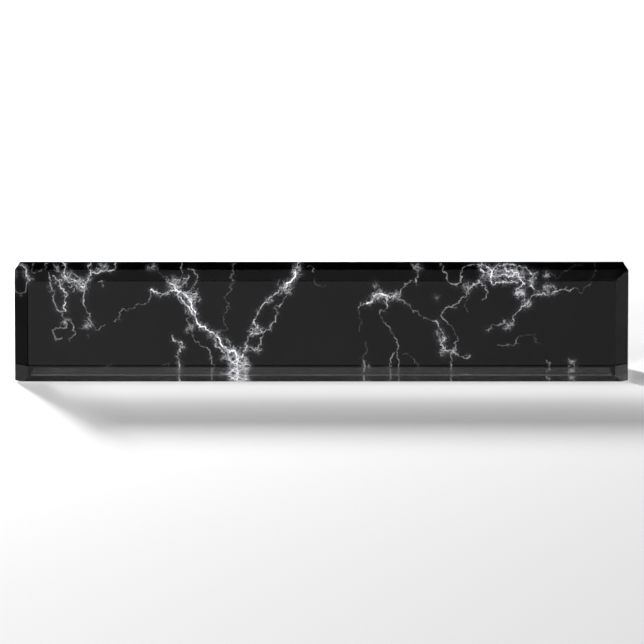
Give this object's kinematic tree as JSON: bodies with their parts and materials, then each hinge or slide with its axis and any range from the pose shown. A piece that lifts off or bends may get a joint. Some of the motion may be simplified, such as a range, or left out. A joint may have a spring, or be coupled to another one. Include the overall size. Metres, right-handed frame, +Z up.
{
  "type": "desk name plate",
  "caption": "Clear bevelled acrylic wedge block with a black marble print with white veins bonded to its back, standing upright on a thin non-slip strip.",
  "frame": {"origin": "middle of the footprint, on the surface that the plate stands on", "axes": "+X along the plate's length, to the viewer's right; the front faces -Y; +Z up"},
  "size_m": [0.216, 0.024, 0.0388],
  "materials": {
    "clear_acrylic": "clear, polished on every face",
    "clear_adhesive": "clear optical adhesive",
    "marble_print": "black marble print with white veins, seen through the block",
    "black_backing": "fine satin grain",
    "pad_tape": "dark self-adhesive tape",
    "grey_foam": "fine-celled dark grey foam"
  },
  "bodies": {
    "root": {"acrylic_block": "clear_acrylic", "image_adhesive": "clear_adhesive", "image_film": "marble_print", "back_sheet": "black_backing", "pad_tape": "pad_tape", "base_pad": "grey_foam"}
  },
  "joints": []
}
